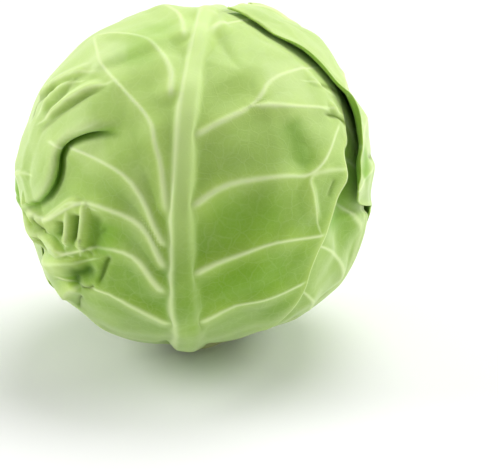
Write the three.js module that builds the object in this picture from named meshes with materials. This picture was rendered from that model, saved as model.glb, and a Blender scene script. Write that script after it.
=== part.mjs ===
// A whole head of cabbage: a dense heart of packed leaves on a cut stem, wrapped in six loose
// outer leaves that overlap like tiles. Each leaf is one closed blade with its midrib, side
// veins, waved margin and folds. Millimetres, +Z up, the cut face of the stem at z = 0, and the
// leaf that shows its whole midrib faces -Y.
import * as THREE from 'three';

// Driving dimensions of the head
const centreHeight = 86.5;      // centre of the heart above the cut stem
const heartHalfWidth = 84;      // heart, from its axis to its side
const heartCrown = 82;          // heart, from its centre up to the crown
const heartFoot = 73;           // heart, from its centre down to its foot
const heartSquareness = 2.25;   // 2 is an ellipsoid, more fills out the shoulders
const layerGap = 0.95;          // air between two leaves that lie on each other
const bladeEdge = 0.9;          // thickness of a blade at its margin
const bladeMiddle = 1.3;        // thickness of a blade beside its midrib
const bladeFoot = 1.6;          // what a blade gains towards its foot
const coverFall = 21;           // how far the step over a leaf's margin runs out
const coverReach = 4;           // how far past its margin a leaf still holds the next one up
const footCrowding = 0.3;       // share of both at the foot, where the leaves crowd the stem
const meanRadius = 88;          // turns angles on the head into millimetres

// Midrib of an outer leaf
const ribFootHeight = 3.8;
const ribTipHeight = 1.3;
const ribFootHalfWidth = 6.8;
const ribTipHalfWidth = 2.1;
const ribPressed = 0.2;         // share of the midrib's height that stays under another leaf

// Side veins: each lifts the blade to a soft ridge, as the poles lift a tent
const veinHeight = 2.4;
const veinHalfWidth = 8.5;

// Low swells all over a blade that lies bare
const swellHeight = 2;
const swellLength = 46;

// The furrow on the right, where the front leaf and the right leaf leave a gap
const furrowAzimuth = -30;
const furrowDepth = 6;
const furrowHalfWidth = 13;
const furrowTop = 150;
const furrowFoot = 55;

// Cut stem, and the core that it sends up into the heart
const stemHalfWidth = 15.5;
const stemHeight = 16;
const coreHeight = 72;
const coreTopHalfWidth = 5;
const stemGap = 0.5;

const rad = THREE.MathUtils.degToRad;
const clamp = THREE.MathUtils.clamp;
const mix = THREE.MathUtils.lerp;
const ease = (x) => THREE.MathUtils.smoothstep(x, 0, 1);
const centre = new THREE.Vector3(0, 0, centreHeight);

// A direction from the centre of the head, in a leaf's own angles: along runs up its midrib from
// straight down (0) past level (90) to the crown (180), across runs to its right
function direction(azimuth, along, across) {
  const a = rad(along);
  const c = rad(across);
  const out = new THREE.Vector3(Math.cos(rad(azimuth)), Math.sin(rad(azimuth)), 0);
  const side = new THREE.Vector3(-Math.sin(rad(azimuth)), Math.cos(rad(azimuth)), 0);
  return out.multiplyScalar(Math.sin(a) * Math.cos(c))
    .add(new THREE.Vector3(0, 0, -Math.cos(a) * Math.cos(c)))
    .addScaledVector(side, Math.sin(c));
}

// The same angles, read back from a direction
function anglesOn(azimuth, d) {
  const outward = d.x * Math.cos(rad(azimuth)) + d.y * Math.sin(rad(azimuth));
  const sideways = -d.x * Math.sin(rad(azimuth)) + d.y * Math.cos(rad(azimuth));
  const along = THREE.MathUtils.radToDeg(Math.atan2(outward, -d.z));
  return {
    along: along < -60 ? along + 360 : along,
    across: THREE.MathUtils.radToDeg(Math.asin(clamp(sideways, -1, 1))),
  };
}

// Six outer leaves, from the innermost to the outermost. Angles are in degrees, foot and tip are
// where the leaf begins and ends along its midrib, left and right its half-widths. Past the
// share narrowFrom of its length it narrows to the share tipWidth of its width, round says how
// far the corners of its tip fall short of the middle, and lean how far its left corner reaches
// past it. A margin of its own is a list of [along, half-width]. Routes of veins and folds are
// points [along, across], from the midrib out, and a bump is [along, across, reach, height].
const leaves = [
  {
    name: 'leaf_inner_back', azimuth: 75, foot: 15.5, tip: 176, left: 52, right: 50,
    narrowFrom: 0.4, narrowing: 2.4, tipWidth: 0.35, round: 16, colour: 0xb9d489, rows: 20, columns: 18,
    inFurrow: true,
  },
  {
    name: 'leaf_inner_left', azimuth: -147, foot: 15.5, tip: 178, left: 54, right: 50,
    narrowFrom: 0.4, narrowing: 2.4, tipWidth: 0.35, round: 16, colour: 0xb4d280, rows: 20, columns: 18,
    inFurrow: true,
  },
  {
    name: 'leaf_inner_right', azimuth: -12, foot: 15.5, tip: 166, left: 52, right: 50,
    narrowFrom: 0.4, narrowing: 2.4, tipWidth: 0.35, round: 16, colour: 0x8fbb4a, rows: 22, columns: 18,
    inFurrow: true,
  },
  {
    name: 'leaf_back', azimuth: 128, foot: 15.5, tip: 190, left: 66, right: 60,
    narrowFrom: 0.35, narrowing: 2.6, tipWidth: 0.45, round: 20, colour: 0xb6d67c, rows: 24, columns: 22,
    marginLift: 2,
    rightMargin: [
      [15.5, 6.5], [20, 24], [28, 52], [38, 74], [48, 80], [100, 80], [114, 76], [130, 64],
      [150, 52], [170, 30],
    ],
    bumps: [[93, 61, 9, 4.5]],
  },
  {
    name: 'leaf_front', azimuth: -97.5, foot: 15.5, tip: 215, round: 22, colour: 0xb2d475,
    rows: 40, columns: 32, marginLift: 1.5,
    leftMargin: [
      [15.5, 6.5], [25, 18], [35, 31], [45, 42], [54, 50], [62, 52], [70, 51], [78, 50],
      [80, 53], [83, 60], [86, 65], [92, 67], [102, 68], [114, 68], [122, 72], [135, 78], [155, 78],
      [175, 68], [193, 50],
    ],
    rightMargin: [
      [15.5, 6.5], [30, 22], [45, 34], [60, 43], [75, 49], [91, 54.5], [101, 58], [110, 60],
      [118, 62], [127, 60], [135, 59.5], [143, 61], [155, 60], [170, 55], [182, 48], [193, 38],
    ],
    veins: [
      [[113, -2], [133, -10], [152, -25], [167, -32], [192, -38]],
      [[139, -1], [156, -9], [166, -20], [178, -34]],
      [[164, -1], [175, -4], [190, -12]],
      [[93, -2], [110, -11], [118, -25], [124, -40]],
      [[86, -2], [97, -8], [102, -22], [101, -32], [92, -45], [94, -57]],
      [[77, -3], [87, -11], [87, -24], [81, -36]],
      [[158, 3], [172, 9], [187, 18], [205, 23]],
      [[124, 5], [138, 23], [150, 28], [166, 38], [180, 44]],
      [[138, 23], [143, 37], [151, 48]],
      [[103, 6], [111, 18], [115, 35], [117, 45], [127, 51], [146, 55]],
      [[80, 4], [86, 18], [90, 34], [88, 50]],
      [[62, -3], [70, -20], [66, -40]],
      [[58, 3], [66, 20], [66, 42]],
    ],
    folds: [
      { route: [[150, -28], [151, -35], [150, -42], [154, -53]], height: 3, half: 10 },
      { route: [[142, -27], [139, -35], [137, -40], [136, -50]], height: 3.6, half: 9 },
      {
        route: [[93, -57], [92, -52], [91, -46], [95, -41], [101, -34], [102, -30], [101, -24]],
        height: 5, half: 11, fromMargin: true,
      },
      {
        route: [[93, -57], [87, -55], [83, -52], [84, -46], [83, -42], [81, -33]],
        height: 5, half: 11, fromMargin: true,
      },
      { route: [[64, -52], [68, -47], [72, -43], [76, -38], [79, -32], [82, -26]], height: 5, half: 12 },
      { route: [[68, -31], [62, -36], [56, -39], [48, -41]], height: 4, half: 11 },
      { route: [[154, 64], [157, 57], [150, 48]], height: 2.6, half: 9 },
    ],
    pleat: {
      route: [
        [129, -22], [128, -30], [124, -37], [119, -40.5], [113, -42], [107, -45],
        [101, -50], [96, -56], [88, -62],
      ],
      height: 5.6, halfWidth: 9, overlap: 2.6, runOut: 45,
    },
  },
  {
    name: 'leaf_right', azimuth: 35, foot: 16, tip: 160, left: 67, right: 56,
    narrowFrom: 0.55, narrowing: 2, tipWidth: 0.06, round: 0, lean: 11, colour: 0xc0dc8c,
    rows: 29, columns: 22, marginLift: 1.5, fall: 8,
    leftMargin: [
      [16, 6.5], [30, 20], [45, 29], [60, 32], [75, 35], [82, 38], [85, 46], [89, 55],
      [95, 60], [102, 62], [110, 61.5], [119, 57], [123, 52], [127, 48], [132, 46], [136, 43],
      [140, 39], [144, 36], [149, 32], [154, 28], [158, 24], [162, 19], [165, 14], [168, 8], [171, 3],
    ],
    bumps: [[135, -8, 20, 3.5], [112, -24, 12, 2.2], [98, -32, 14, 3]],
    lip: { radius: 3.8, turn: 100 },
  },
];

// Where the leaves without routes of their own get theirs: pairs of veins that leave the midrib
// in turn and swing up to the margin
const veinPairs = 5;
const veinRise = 30;
function veinsByRule(leaf) {
  const routes = [];
  for (let pair = 0; pair < veinPairs; pair += 1) {
    for (const side of [-1, 1]) {
      const width = side < 0 ? leaf.left : leaf.right;
      const start = mix(leaf.foot + 22, leaf.tip - 26, (pair + (side < 0 ? 0 : 0.4)) / veinPairs);
      routes.push([[start, 2 * side], [start + veinRise * 0.45, 0.3 * side * width],
        [start + veinRise * 0.8, 0.62 * side * width], [start + veinRise, 0.95 * side * width]]);
    }
  }
  return routes;
}

// A route in a leaf's angles as a smooth line of points on the unit sphere
const stepsPerPoint = 3;
function routeOnHead(azimuth, route) {
  const curve = new THREE.CatmullRomCurve3(route.map(([a, c]) => new THREE.Vector3(a, c, 0)));
  return curve.getPoints((route.length - 1) * stepsPerPoint)
    .map((p) => direction(azimuth, p.x, p.y));
}

for (const leaf of leaves) {
  leaf.veinLines = (leaf.veins ?? veinsByRule(leaf)).map((r) => routeOnHead(leaf.azimuth, r));
  for (const fold of leaf.folds ?? []) fold.line = routeOnHead(leaf.azimuth, fold.route);
  if (leaf.pleat) leaf.pleatLine = routeOnHead(leaf.azimuth, leaf.pleat.route);
}

// How far a direction lies from a line on the head, in millimetres, how far along the line
// (0 to 1) the nearest point is, how far the direction lies to its one or other side, and how
// far past the line's ends
function nearestOnLine(line, d) {
  const best = { distance: Infinity, share: 0, signed: 0, past: 0, outward: new THREE.Vector3() };
  const last = line.length - 2;
  for (let i = 0; i <= last; i += 1) {
    const run = line[i + 1].clone().sub(line[i]);
    const from = d.clone().sub(line[i]);
    const place = from.dot(run) / run.lengthSq();
    const t = clamp(place, 0, 1);
    const away = from.clone().addScaledVector(run, -t);
    const distance = away.length() * meanRadius;
    if (distance < best.distance) {
      best.distance = distance;
      best.share = (i + t) / (last + 1);
      best.outward = new THREE.Vector3().crossVectors(line[i], run).normalize();
      best.signed = away.dot(best.outward) * meanRadius;
      best.past = i === 0 || i === last ? Math.abs(place - t) * run.length() * meanRadius : 0;
    }
  }
  return best;
}

// Half-width of a leaf in degrees, at share u of its length, on its left (-1) or right (1)
const footHalfWidth = 6.5;
const fullWidthAt = 0.42;
const marginSoftness = 2.5;     // degrees along which a listed margin is rounded off
function halfWidth(leaf, u, side) {
  const margin = side < 0 ? leaf.leftMargin : leaf.rightMargin;
  if (margin) {
    const along = alongAt(leaf, u, side);
    const places = [along - marginSoftness, along, along + marginSoftness];
    return places.reduce((sum, place) => sum + between(margin, place), 0) / places.length;
  }
  const full = side < 0 ? leaf.left : leaf.right;
  const widening = mix(footHalfWidth / full, 1, ease(u / fullWidthAt));
  const beyond = clamp((u - leaf.narrowFrom) / (1 - leaf.narrowFrom), 0, 1);
  return full * widening * mix(1, leaf.tipWidth, Math.pow(beyond, leaf.narrowing));
}

// A value read off a list of [place, value]
function between(list, place) {
  const next = list.findIndex(([at]) => at > place);
  if (next === 0) return list[0][1];
  if (next < 0) return list[list.length - 1][1];
  const [[from, low], [to, high]] = [list[next - 1], list[next]];
  return mix(low, high, (place - from) / (to - from));
}

// Where a leaf ends, at share v of its width: its tip is an arc, or leans to one side
const endOf = (leaf, v) => leaf.tip - leaf.round * v * v - (leaf.lean ?? 0) * v;
const alongAt = (leaf, u, v) => mix(leaf.foot, endOf(leaf, v), u);
const shareAlong = (leaf, along, v) => clamp((along - leaf.foot) / (endOf(leaf, v) - leaf.foot), 0, 1);

// Distance in millimetres from a direction to a leaf's outline, positive inside it
function insideOutline(leaf, d) {
  const { along, across } = anglesOn(leaf.azimuth, d);
  const side = Math.sign(across) || 1;
  const rough = halfWidth(leaf, shareAlong(leaf, along, 0), side);
  const v = clamp(across / rough, -1, 1);
  const u = shareAlong(leaf, along, v);
  const nudge = 0.02;
  const slope = (halfWidth(leaf, u, side) - halfWidth(leaf, u - nudge, side))
    / (nudge * (leaf.tip - leaf.foot));
  const toMargin = (halfWidth(leaf, u, side) - Math.abs(across)) / Math.sqrt(1 + slope * slope);
  return rad(Math.min(toMargin, endOf(leaf, v) - along, along - leaf.foot)) * meanRadius;
}

// 1 where a leaf lies, fading to 0 past its margin
const crowdedUpTo = 40;
function cover(leaf, d) {
  const { along } = anglesOn(leaf.azimuth, d);
  const room = mix(footCrowding, 1, ease((along - leaf.foot) / crowdedUpTo));
  const fall = (leaf.fall ?? coverFall) * room;
  return ease((insideOutline(leaf, d) + coverReach * room + fall) / fall);
}

// 1 where a leaf is the outermost one, 0 under another leaf
function bare(index, d) {
  return leaves.slice(index + 1).reduce((share, outer) => share * (1 - cover(outer, d)), 1);
}

// Thickness of a blade without its relief
function bladeThickness(leaf, along, across) {
  const u = shareAlong(leaf, along, 0);
  const towardsMiddle = Math.exp(-Math.pow(across / 25, 2));
  return mix(bladeEdge, bladeMiddle, towardsMiddle) + bladeFoot * Math.pow(1 - u, 4) * towardsMiddle;
}

// Height of a leaf's midrib over its blade, with a flat top and round shoulders
function ribHeight(leaf, along, across, spread) {
  const u = shareAlong(leaf, along, 0);
  const height = ribTipHeight + ribFootHeight * Math.pow(1 - u, 2.2);
  const half = (ribTipHalfWidth + ribFootHalfWidth * Math.pow(1 - u, 1.7)) * spread;
  const beside = rad(across) * meanRadius / half;
  return height * Math.exp(-Math.pow(beside, 4) * 0.8);
}

// Surface of the heart before its own relief, as a distance from the centre
function heartRadius(d) {
  const level = Math.hypot(d.x, d.y) / heartHalfWidth;
  const upright = Math.abs(d.z) / (d.z > 0 ? heartCrown : heartFoot);
  const n = heartSquareness;
  return Math.pow(Math.pow(level, n) + Math.pow(upright, n), -1 / n);
}

function furrow(d) {
  const { along, across } = anglesOn(furrowAzimuth, d);
  const beside = rad(across) * meanRadius / furrowHalfWidth;
  const ends = ease((along - furrowFoot) / 30) * ease((furrowTop - along) / 30);
  return furrowDepth * Math.exp(-beside * beside) * ends;
}

// How far a leaf's inner face lies from the centre: the heart, and every leaf under it
function layerRadius(index, d) {
  const sunk = leaves[index].inFurrow ? furrow(d) : 0;
  let radius = heartRadius(d) + layerGap - sunk;
  for (let inner = 0; inner < index; inner += 1) {
    const under = leaves[inner];
    const { along, across } = anglesOn(under.azimuth, d);
    const thickness = bladeThickness(under, along, across)
      + ribPressed * ribHeight(under, along, across, 1.5);
    radius += cover(under, d) * (thickness + layerGap);
  }
  return radius;
}

// A ridge over a line: full height on it, gone at its half-width
const ridge = (distance, half, sharpness) => Math.pow(Math.max(0, 1 - distance / half), sharpness);

// How far the veins and folds lift a blade. A fold is steep on one side, and dies away at both
// ends or, from the margin, at its inner end only.
const veinSharpness = 1.4;
const foldSharpness = 1.15;
const steepSide = 0.4;
function lift(leaf, d) {
  let most = 0;
  for (const line of leaf.veinLines) {
    const { distance, share } = nearestOnLine(line, d);
    most = Math.max(most, veinHeight * (1 - 0.5 * share) * ridge(distance, veinHalfWidth, veinSharpness));
  }
  for (const fold of leaf.folds ?? []) {
    const { distance, share, signed } = nearestOnLine(fold.line, d);
    const ends = (fold.fromMargin ? 1 : ease(share * 4)) * ease((1 - share) * 5);
    const half = fold.half * (signed > 0 ? steepSide : 1);
    most = Math.max(most, fold.height * ends * ridge(distance, half, foldSharpness));
  }
  return most;
}

function bumps(leaf, d) {
  let total = 0;
  for (const [along, across, reach, height] of leaf.bumps ?? []) {
    const away = d.distanceTo(direction(leaf.azimuth, along, across)) * meanRadius;
    total += height * Math.exp(-Math.pow(away / reach, 2));
  }
  return total;
}

function swell(leaf, d) {
  const turns = 2 * Math.PI * meanRadius / swellLength;
  const start = rad(leaf.azimuth);
  const broad = Math.sin(turns * d.x + start) * Math.sin(turns * (0.8 * d.z + 0.6 * d.y) + 2 * start);
  const narrow = Math.sin(turns * 1.9 * d.y + 3 * start) * Math.sin(turns * (1.7 * d.z - d.x));
  return swellHeight * (0.5 + 0.35 * broad + 0.15 * narrow);
}

// Margins stand off a little, in waves
const marginReach = 16;
const wavesAlong = 11;
function marginLift(leaf, d) {
  const near = ease(1 - insideOutline(leaf, d) / marginReach);
  const { along } = anglesOn(leaf.azimuth, d);
  const wave = 0.55 + 0.45 * Math.sin(rad(along * wavesAlong) + leaf.azimuth);
  return (leaf.marginLift ?? 1) * near * wave;
}

// A pleat: past its line the blade steps outwards and leans back over itself. It opens over the
// first part of its line, and is shallow where it reaches the margin.
const pleatFade = 12;           // how far past the ends of its line it dies away
const pleatOpenAt = 0.33;
const pleatDeepUntil = 0.6;
const pleatAtMargin = 0.4;
function pleatShift(leaf, d) {
  const { share, signed: across, past, outward } = nearestOnLine(leaf.pleatLine, d);
  const { height, halfWidth: half, overlap, runOut } = leaf.pleat;
  const signed = -across;
  const shallowing = ease((share - pleatDeepUntil) / (1 - pleatDeepUntil));
  const ends = ease(share / pleatOpenAt) * ease(1 - past / pleatFade) * mix(1, pleatAtMargin, shallowing);
  const over = signed > 0 ? ease(1 - (signed - half) / runOut) : 1;
  const up = height * ends * over * ease((signed / half + 0.8) / 1.6);
  const lean = Math.abs(signed) < half ? overlap * ends * Math.sin(Math.PI * signed / half) : 0;
  return { up, lean, outward };
}

// A rolled margin: the last of the blade turns outwards in an arc. across is where it would lie
// if it were flat, and the answer says how far it moves in and stands out.
const lipWave = 0.3;
const lipWaves = 7;
const lipAtTip = 0.12;          // share of the roll that is left at the tip
const lipTipReach = 0.25;       // share of the leaf's length over which it grows from there
const lipFoot = 0.58;           // the roll begins at this share of the leaf's length
const lipFootReach = 0.08;
const leastRoll = 0.05;
function rollMargin(leaf, across, u) {
  const { radius, turn } = leaf.lip;
  const ends = mix(lipAtTip, 1, ease((1 - u) / lipTipReach)) * ease((u - lipFoot) / lipFootReach);
  const roll = radius * ends * (1 + lipWave * Math.sin(2 * Math.PI * lipWaves * u)) + leastRoll;
  const flat = (halfWidth(leaf, u, -1) + across) * rad(1) * meanRadius;
  const bent = Math.max(0, roll * rad(turn) - flat);
  const angle = bent / roll;
  return {
    back: THREE.MathUtils.radToDeg((bent - roll * Math.sin(angle)) / meanRadius),
    out: roll * (1 - Math.cos(angle)),
  };
}

// A point on a leaf's inner face, for share u of its length and share v across it
function innerPoint(index, u, v) {
  const leaf = leaves[index];
  const along = alongAt(leaf, u, v);
  const across = v * halfWidth(leaf, u, Math.sign(v));
  const roll = leaf.lip && v < 0 ? rollMargin(leaf, across, u) : { back: 0, out: 0 };
  const d = direction(leaf.azimuth, along, across + roll.back);
  const free = bare(index, d);
  let radius = layerRadius(index, d) + roll.out;
  const edge = leaf.lip && v < 0 ? 0 : marginLift(leaf, d);
  radius += free * (lift(leaf, d) + swell(leaf, d) + bumps(leaf, d) + edge);
  const point = new THREE.Vector3().copy(centre);
  if (leaf.pleat) {
    const pleat = pleatShift(leaf, d);
    radius += pleat.up * free;
    point.addScaledVector(pleat.outward, pleat.lean * free);
  }
  return point.addScaledVector(d, radius);
}

const nudge = 1e-3;
function outwardNormal(index, u, v) {
  const p = innerPoint(index, u, v);
  const du = u < 0.5 ? nudge : -nudge;
  const dv = v < 0 ? nudge : -nudge;
  const alongRun = innerPoint(index, u + du, v).sub(p).multiplyScalar(Math.sign(du));
  const acrossRun = innerPoint(index, u, v + dv).sub(p).multiplyScalar(Math.sign(dv));
  return acrossRun.cross(alongRun).normalize();
}

function leafThickness(index, u, v) {
  const leaf = leaves[index];
  const along = alongAt(leaf, u, v);
  const across = v * halfWidth(leaf, u, Math.sign(v));
  const free = bare(index, direction(leaf.azimuth, along, across));
  return bladeThickness(leaf, along, across)
    + mix(ribPressed, 1, free) * ribHeight(leaf, along, across, 1);
}

// Columns crowd at the midrib, and at a rolled margin
const columnCrowding = 0.36;
function columnPlaces(leaf) {
  const places = [];
  for (let i = 0; i <= leaf.columns; i += 1) {
    const t = 2 * i / leaf.columns - 1;
    places.push(t * mix(1, t * t, columnCrowding));
  }
  if (leaf.lip) places.splice(1, 0, -0.985, -0.965, -0.94);
  return [...new Set(places)].sort((a, b) => a - b);
}

// Rows crowd at the foot and the tip
const rowCrowding = 0.05;
function rowPlaces(leaf) {
  return Array.from({ length: leaf.rows + 1 }, (_, i) => {
    const t = i / leaf.rows;
    return t - rowCrowding * Math.sin(2 * Math.PI * t);
  });
}

// Two faces with the same triangles, closed by a wall along the outline
function leafGeometry(index) {
  const leaf = leaves[index];
  const us = rowPlaces(leaf);
  const vs = columnPlaces(leaf);
  const width = vs.length;
  const points = [];
  const corners = [];
  for (const outer of [false, true]) {
    for (const u of us) {
      for (const v of vs) {
        const p = innerPoint(index, u, v);
        if (outer) p.addScaledVector(outwardNormal(index, u, v), leafThickness(index, u, v));
        points.push(p.x, p.y, p.z);
      }
    }
  }
  const outerStart = us.length * width;
  const quad = (a, b, c, d) => corners.push(a, b, c, a, c, d);
  for (let i = 0; i + 1 < us.length; i += 1) {
    for (let j = 0; j + 1 < width; j += 1) {
      const a = i * width + j;
      const [b, c, d] = [a + 1, a + width + 1, a + width];
      quad(outerStart + a, outerStart + b, outerStart + c, outerStart + d);
      corners.push(a, c, b, a, d, c);
    }
  }
  const wall = (a, b) => quad(a, b, outerStart + b, outerStart + a);
  for (let j = 0; j + 1 < width; j += 1) {
    wall(j, j + 1);
    wall((us.length - 1) * width + j + 1, (us.length - 1) * width + j);
  }
  for (let i = 0; i + 1 < us.length; i += 1) {
    wall((i + 1) * width, i * width);
    wall(i * width + width - 1, (i + 1) * width + width - 1);
  }
  return meshFrom(points, corners);
}

function meshFrom(points, corners) {
  const geometry = new THREE.BufferGeometry();
  geometry.setAttribute('position', new THREE.Float32BufferAttribute(points, 3));
  geometry.setIndex(corners);
  geometry.computeVertexNormals();
  return geometry;
}

// A closed body from rings of points round the Z axis, with a point at each end
function bodyFromRings(first, rings, last) {
  const around = rings[0].length;
  const points = [...first.toArray(), ...rings.flat().flatMap((p) => p.toArray()), ...last.toArray()];
  const at = (ring, i) => 1 + ring * around + (i % around);
  const end = 1 + rings.length * around;
  const corners = [];
  for (let i = 0; i < around; i += 1) {
    corners.push(0, at(0, i + 1), at(0, i));
    corners.push(end, at(rings.length - 1, i), at(rings.length - 1, i + 1));
    for (let ring = 0; ring + 1 < rings.length; ring += 1) {
      corners.push(at(ring, i), at(ring, i + 1), at(ring + 1, i + 1));
      corners.push(at(ring, i), at(ring + 1, i + 1), at(ring + 1, i));
    }
  }
  return meshFrom(points, corners);
}

// Width of the stem and its core at a height above the cut
function stemHalfWidthAt(z) {
  const neck = mix(stemHalfWidth, stemHalfWidth * 0.74, ease(z / stemHeight));
  return z < stemHeight ? neck
    : mix(stemHalfWidth * 0.74, coreTopHalfWidth, (z - stemHeight) / (coreHeight - stemHeight));
}

const stemSides = 24;
const stemFluting = 0.035;
function ringAt(z, half, sides) {
  return Array.from({ length: sides }, (_, i) => {
    const turn = 2 * Math.PI * i / sides;
    const r = half * (1 + stemFluting * Math.cos(5 * turn + 1));
    return new THREE.Vector3(r * Math.cos(turn), r * Math.sin(turn), z);
  });
}

const stemLevels = [0, 1.2, 5, 9, 13, stemHeight, 28, 42, 58, coreHeight];
function stemGeometry() {
  const rings = stemLevels.map((z) => ringAt(z, stemHalfWidthAt(z) - (z === 0 ? 0.8 : 0), stemSides));
  return bodyFromRings(new THREE.Vector3(0, 0, 0), rings, new THREE.Vector3(0, 0, coreHeight + 3));
}

// The heart: margins of the packed leaves step over each other, each with its midrib pressed in
const heartLeaves = [
  { azimuth: 20, reach: 62, top: 186 },
  { azimuth: 140, reach: 60, top: 190 },
  { azimuth: 262, reach: 64, top: 184 },
];
const heartStep = 1.5;
const heartRib = 1.1;
const heartSides = 36;
const heartRows = 19;
const heartFootAngle = 17;
function heartRelief(d) {
  let sunk = heartStep * heartLeaves.length + heartRib;
  for (const { azimuth, reach, top } of heartLeaves) {
    const { along, across } = anglesOn(azimuth, d);
    const inside = Math.min(reach - Math.abs(across), top - along);
    sunk -= heartStep * ease(inside / 7);
    sunk -= heartRib * Math.exp(-Math.pow(across / 5, 2)) * ease((150 - along) / 60)
      * ease(inside / 7) / heartLeaves.length;
  }
  return sunk;
}

function heartGeometry() {
  const rings = [];
  for (const z of stemLevels.slice().reverse()) {
    if (z > stemHeight - 1) rings.push(ringAt(z, stemHalfWidthAt(z) + stemGap, heartSides));
  }
  for (let row = 0; row < heartRows; row += 1) {
    const ring = [];
    const along = mix(heartFootAngle, 180, row / heartRows);
    for (let i = 0; i < heartSides; i += 1) {
      const d = direction(360 * i / heartSides, along, 0);
      const radius = heartRadius(d) - heartRelief(d) - furrow(d);
      ring.push(new THREE.Vector3().copy(centre).addScaledVector(d, radius));
    }
    rings.push(ring);
  }
  const pole = new THREE.Vector3(0, 0, 1);
  const crown = centreHeight + heartRadius(pole) - heartRelief(pole);
  const holeTop = new THREE.Vector3(0, 0, coreHeight + 4);
  return bodyFromRings(holeTop, rings, new THREE.Vector3(0, 0, crown));
}

function piece(name, geometry, colour, roughness) {
  const material = new THREE.MeshStandardMaterial({ color: colour, roughness, metalness: 0 });
  const mesh = new THREE.Mesh(geometry, material);
  mesh.name = name;
  return mesh;
}

const cabbage = new THREE.Group();
cabbage.add(piece('cut_stem', stemGeometry(), 0xe3e2b8, 0.7));
cabbage.add(piece('heart', heartGeometry(), 0xcfe0a0, 0.5));
leaves.forEach((leaf, index) => {
  cabbage.add(piece(leaf.name, leafGeometry(index), leaf.colour, 0.45));
});

export default cabbage;
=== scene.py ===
import math

import bpy
import numpy as np
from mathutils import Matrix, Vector


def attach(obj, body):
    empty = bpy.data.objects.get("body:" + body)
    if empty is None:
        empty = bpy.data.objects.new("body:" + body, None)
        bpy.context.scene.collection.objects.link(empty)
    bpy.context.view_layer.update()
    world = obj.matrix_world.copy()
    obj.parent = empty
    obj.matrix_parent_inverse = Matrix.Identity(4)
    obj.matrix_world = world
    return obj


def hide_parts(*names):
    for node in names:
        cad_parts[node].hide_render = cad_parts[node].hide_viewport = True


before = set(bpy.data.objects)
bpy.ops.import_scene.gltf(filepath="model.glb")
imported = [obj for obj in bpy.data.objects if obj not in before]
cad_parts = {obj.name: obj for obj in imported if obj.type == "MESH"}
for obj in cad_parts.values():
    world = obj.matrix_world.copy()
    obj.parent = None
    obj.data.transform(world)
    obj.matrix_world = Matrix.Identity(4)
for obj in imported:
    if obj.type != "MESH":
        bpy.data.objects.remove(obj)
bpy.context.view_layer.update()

# Metres and degrees throughout. The head stands on its cut stem at z = 0, and the leaf that
# shows its whole midrib faces -Y. The leaves follow the formulas of their solids on finer grids,
# with finer folds and creases.
MM = 0.001
CENTRE = np.array([0.0, 0.0, 86.5 * MM])
HEART_HALF_WIDTH = 84 * MM
HEART_CROWN = 82 * MM
HEART_FOOT = 73 * MM
HEART_SQUARENESS = 2.25
LAYER_GAP = 0.95 * MM
BLADE_EDGE = 0.9 * MM
BLADE_MIDDLE = 1.3 * MM
BLADE_FOOT = 1.6 * MM
BLADE_MIDDLE_REACH = 25
BLADE_FOOT_FALL = 4
COVER_FALL = 21 * MM
COVER_REACH = 4 * MM
FOOT_CROWDING = 0.3
CROWDED_UP_TO = 40
MEAN_RADIUS = 88 * MM
LOWEST_ANGLE = -60

# Midrib
RIB_FOOT_HEIGHT = 3.8 * MM
RIB_TIP_HEIGHT = 1.3 * MM
RIB_FOOT_HALF_WIDTH = 5.2 * MM
RIB_TIP_HALF_WIDTH = 3.4 * MM
RIB_ASIDE_FROM = 25
RIB_ASIDE_TO = 60
RIB_PRESSED = 0.2
RIB_PRESSED_SPREAD = 1.5
RIB_LOWERING = 2.2
RIB_NARROWING = 1.7
RIB_FALL = 0.8
RIB_SQUARENESS = 4
# Place and widths of the painted highlight along the midrib's edges
RIB_EDGE_PLACE = 0.85
RIB_LEFT_EDGE = 0.26
RIB_RIGHT_EDGE = 0.2
RIB_RIGHT_EDGE_SHARE = 0.1

# Side veins lift the blade like tent poles. Each one is a fine line along the top of its tent.
TENT_HEIGHT = 2 * MM
TENT_HALF_WIDTH = 8.5 * MM
TENT_DROP = 0.5
TENT_SHARPNESS = 1.4
TENT_ON_RIB = 0.2
VEIN_BASE_HALF_WIDTH = 1.5 * MM
VEIN_END_HALF_WIDTH = 0.75 * MM
CREST_BASE_HALF_WIDTH = 1.1 * MM
CREST_END_HALF_WIDTH = 0.6 * MM
LINE_REACH = 3 * MM
LINES_MEET = 0.8 * MM
LINES_APART = 3 * MM
PANEL_REACH = 9 * MM
FAR_AWAY = 1000 * MM
LINE_TAPER = 1.5

# Where a leaf has no list of veins: pairs of them, and the shares of their rise and of the leaf's
# half-width that they have reached on their way
VEIN_PAIRS = 5
VEIN_RISE = 30
VEIN_STAGGER = 0.4
VEIN_FROM_MIDDLE = 2
VEINS_FROM_FOOT = 22
VEINS_FROM_TIP = 26
VEIN_COURSE = [(0.45, 0.3), (0.8, 0.62), (1, 0.95)]

# Folds and creases fade over one part in so many at their ends
FOLD_START_FADE = 4
LINE_END_FADE = 5
STEEP_SIDE = 0.4
FOLD_SHARPNESS = 1.15

# Broad swells of a blade, and its waving margin
SWELL_HEIGHT = 2 * MM
SWELL_LENGTH = 46 * MM
SWELL_MEAN = 0.5
SWELL_BROAD = 0.35
SWELL_NARROW = 0.15
MARGIN_REACH = 16 * MM
MARGIN_LIFT = 1 * MM
MARGIN_WAVE = 0.45
# Reach of the painted highlight along a margin
MARGIN_PALE_REACH = 6 * MM
WAVES_ALONG = 11
CLEAR_REACH = 3 * MM

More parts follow.
